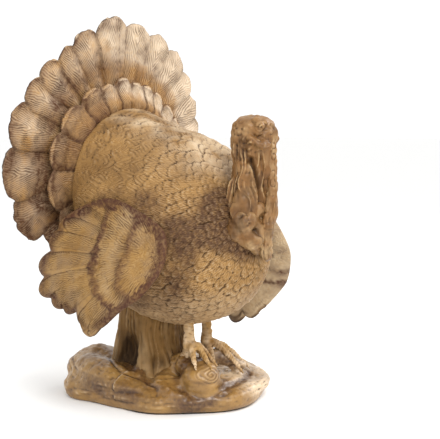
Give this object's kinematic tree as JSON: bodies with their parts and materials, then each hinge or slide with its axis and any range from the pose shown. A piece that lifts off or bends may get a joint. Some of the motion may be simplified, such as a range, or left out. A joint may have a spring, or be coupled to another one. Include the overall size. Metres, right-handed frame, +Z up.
{
  "type": "turkey statue",
  "caption": "Strutting tom turkey statue in carved-wood-look resin: fanned tail, drooping wings and scaly breast, standing on a tree stump and rocky base.",
  "frame": {"origin": "middle of the underside of the felt pad, on the surface the statue stands on", "axes": "+Z up, -Y the way the bird faces, +X towards the bird's left wing"},
  "size_m": [0.3194, 0.2909, 0.4446],
  "materials": {
    "resin": "hand-stained wood look, satin",
    "resin_dark": "hand-stained wood look with a darker wash, satin",
    "resin_pale": "hand-stained wood look, paler, satin",
    "steel": "zinc plated",
    "felt": "felt"
  },
  "bodies": {
    "root": {"felt_pad": "felt", "ground_base": "resin", "tree_stump": "resin_dark", "centre_rod": "steel", "base_washer": "steel", "base_nut": "steel", "body_washer": "steel", "body_nut": "steel", "body_shell": "resin", "rear_plug": "resin_dark", "neck_head": "resin_pale", "neck_dowel": "steel", "snood": "resin_pale", "wattle": "resin_pale", "tail_fan": "resin", "tail_coverts": "resin_pale", "vent_feathers": "resin_dark", "tail_dowels": "steel", "right_wing": "resin", "left_wing": "resin", "wing_dowels": "steel", "right_leg": "resin_dark", "left_leg": "resin_dark", "leg_wires": "steel"}
  },
  "joints": []
}
